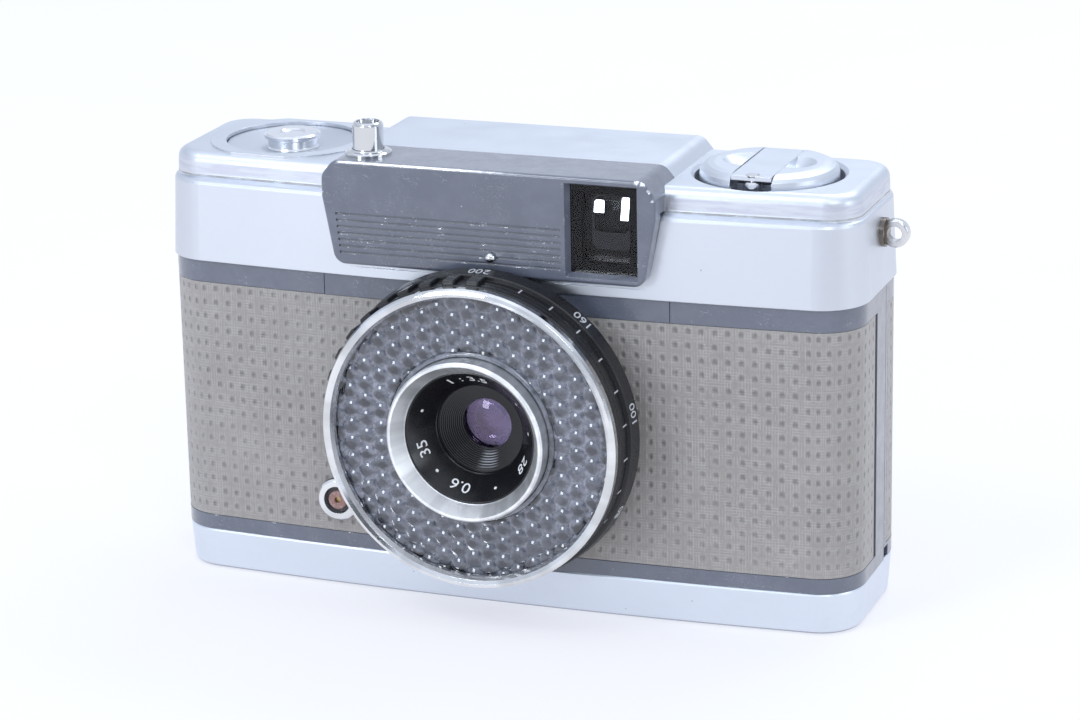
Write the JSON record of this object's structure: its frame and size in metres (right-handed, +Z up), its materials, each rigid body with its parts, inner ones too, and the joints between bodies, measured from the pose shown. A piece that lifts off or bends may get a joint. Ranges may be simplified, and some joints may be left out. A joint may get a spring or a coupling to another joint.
{
  "type": "half frame camera",
  "caption": "Compact half frame film camera with a light meter ring round its lens, a folding rewind crank, a thumbwheel and a slide-off back.",
  "frame": {"origin": "mouth of the tripod socket, in the plane of the base", "axes": "+X along the body towards the rewind side, -Y out of the lens, +Z up"},
  "size_m": [0.1142, 0.0436, 0.0711],
  "materials": {
    "satin_chrome": "satin chrome plate",
    "polished_chrome": "polished chrome plate",
    "slate_paint": "slate grey enamel",
    "leatherette": "embossed warm grey leatherette",
    "counter_plate": "satin anodised",
    "black_enamel": "satin black enamel",
    "black_plastic": "matt black moulding",
    "casting_black": "matt black die casting",
    "lens_glass": "coated optical glass",
    "window_glass": "flat window glass",
    "honeycomb": "clear moulded lens sheet",
    "selenium": "selenium coated plate",
    "machined_aluminium": "machined",
    "steel": "bright steel",
    "blued_steel": "blackened steel",
    "brass": "machined brass",
    "red_paint": "red paint",
    "foam": "black foam"
  },
  "bodies": {
    "camera": {"band_centre": "slate_paint", "body_casting": "casting_black", "bubble_window": "honeycomb", "cassette_bay": "casting_black", "cell_holder": "black_enamel", "eyepiece_frame": "black_plastic", "finder_lenses": "lens_glass", "finder_tunnel": "black_plastic", "finder_window": "window_glass", "flange_screws": "steel", "front_hood": "slate_paint", "front_rings": "black_enamel", "front_shell": "slate_paint", "galvanometer": "brass", "index_ball": "polished_chrome", "inner_ring": "polished_chrome", "leatherette_front": "leatherette", "lens_barrel": "black_enamel", "lens_flange": "black_enamel", "lens_front_element": "lens_glass", "lens_inner_elements": "lens_glass", "lens_rear_cell": "black_plastic", "light_seals": "foam", "outer_bezel": "polished_chrome", "pc_socket_insulator": "black_plastic", "pc_socket_pin": "brass", "pc_socket_ring": "polished_chrome", "release_collar": "polished_chrome", "release_spring": "steel", "selenium_cell": "selenium", "shutter_housing": "machined_aluminium", "strap_lugs": "satin_chrome", "takeup_bay": "casting_black", "top_cover": "satin_chrome"},
    "release": {"release_button": "polished_chrome"},
    "dial": {"dial_ring": "black_enamel"},
    "advance": {"thumbwheel": "machined_aluminium", "advance_gear": "steel"},
    "spool": {"takeup_spool": "black_plastic"},
    "film_sprocket": {"sprocket": "machined_aluminium", "sprocket_gear": "brass"},
    "frame_counter": {"counter_dial": "counter_plate", "counter_knob": "satin_chrome"},
    "rewind": {"rewind_disc": "satin_chrome", "rewind_shaft": "steel"},
    "crank": {"crank_arm": "satin_chrome"},
    "crank_grip": {"crank_knob": "polished_chrome"},
    "back": {"back_cover": "slate_paint", "base_plate": "satin_chrome", "leatherette_back": "leatherette", "tripod_bush": "steel", "pressure_spring": "steel"},
    "film_plate": {"pressure_plate": "blued_steel"},
    "lock": {"lock_disc": "machined_aluminium"},
    "bail": {"lock_bail": "steel"},
    "rewind_catch": {"rewind_release": "steel"},
    "needle": {"meter_needle": "red_paint"},
    "flag": {"warning_flag": "red_paint"},
    "blade_right": {"shutter_blade_right": "blued_steel"},
    "blade_left": {"shutter_blade_left": "blued_steel"}
  },
  "joints": [
    {"name": "shutter_release", "type": "slide", "parent": "camera", "child": "release", "axis": [0, 0, -1], "range_m": [0, 0.0016], "stiffness_N_per_m": 900, "springref_m": -0.0012, "deforming": ["release_spring"]},
    {"name": "film_speed_ring", "type": "hinge", "parent": "camera", "child": "dial", "pos_m": [0, -0.021, 0.0292], "axis": [0, -1, 0], "range_deg": [0, 280]},
    {"name": "advance_wheel", "type": "hinge", "parent": "camera", "child": "advance", "pos_m": [-0.0373, 0.0026, 0.0525], "axis": [0, 0, 1], "continuous": true},
    {"name": "takeup_turn", "type": "hinge", "parent": "camera", "child": "spool", "pos_m": [-0.0373, 0.0026, 0.024], "axis": [0, 0, 1], "continuous": true},
    {"name": "sprocket_turn", "type": "hinge", "parent": "camera", "child": "film_sprocket", "pos_m": [-0.02158, 0.005, 0.027], "axis": [0, 0, 1], "continuous": true},
    {"name": "counter_turn", "type": "hinge", "parent": "camera", "child": "frame_counter", "pos_m": [-0.0373, 0, 0.0636], "axis": [0, 0, 1], "continuous": true},
    {"name": "rewind_turn", "type": "hinge", "parent": "camera", "child": "rewind", "pos_m": [0.0368, 0, 0.063], "axis": [0, 0, 1], "continuous": true},
    {"name": "crank_fold", "type": "hinge", "parent": "rewind", "child": "crank", "pos_m": [0.0368, 0.0076, 0.06545], "axis": [-1, 0, 0], "range_deg": [0, 170]},
    {"name": "crank_grip_turn", "type": "hinge", "parent": "crank", "child": "crank_grip", "pos_m": [0.0368, -0.0083, 0.0633], "axis": [0, 0, 1], "continuous": true},
    {"name": "back_slide", "type": "slide", "parent": "camera", "child": "back", "axis": [0, 0, -1], "range_m": [0, 0.06]},
    {"name": "film_plate_float", "type": "slide", "parent": "back", "child": "film_plate", "axis": [0, 1, 0], "range_m": [0, 0.0003], "stiffness_N_per_m": 2000, "springref_m": -0.0008, "deforming": ["pressure_spring"]},
    {"name": "lock_turn", "type": "hinge", "parent": "back", "child": "lock", "pos_m": [0, 0, 0.0008], "axis": [0, 0, 1], "range_deg": [0, 90]},
    {"name": "bail_fold", "type": "hinge", "parent": "lock", "child": "bail", "pos_m": [0, 0, 0.00056], "axis": [1, 0, 0], "range_deg": [0, 95]},
    {"name": "rewind_catch_push", "type": "slide", "parent": "camera", "child": "rewind_catch", "axis": [0, 0, 1], "range_m": [0, 0.0012], "stiffness_N_per_m": 300, "springref_m": -0.001},
    {"name": "needle_swing", "type": "hinge", "parent": "camera", "child": "needle", "pos_m": [0.002, -0.004, 0.053], "axis": [0, 0, 1], "range_deg": [-25, 25], "stiffness_Nm_per_rad": 0.00002},
    {"name": "flag_swing", "type": "hinge", "parent": "camera", "child": "flag", "pos_m": [0.0111, -0.006, 0.0515], "axis": [0, 1, 0], "range_deg": [0, 35], "stiffness_Nm_per_rad": 0.00004, "springref_deg": -17.19},
    {"name": "blade_open", "type": "hinge", "parent": "camera", "child": "blade_right", "pos_m": [0.0105, -0.0153, 0.0382], "axis": [0, -1, 0], "range_deg": [0, 35], "stiffness_Nm_per_rad": 0.00005, "springref_deg": -17.19},
    {"name": "blade_open_left", "type": "hinge", "parent": "camera", "child": "blade_left", "pos_m": [-0.0105, -0.0147, 0.0382], "axis": [0, 1, 0], "range_deg": [0, 35]}
  ],
  "couplings": [
    {"joint": "takeup_turn", "follows": "advance_wheel", "ratio": 1},
    {"joint": "sprocket_turn", "follows": "advance_wheel", "ratio": -1.5238},
    {"joint": "counter_turn", "follows": "advance_wheel", "ratio": 0.04233},
    {"joint": "blade_open_left", "follows": "blade_open", "ratio": 1}
  ]
}
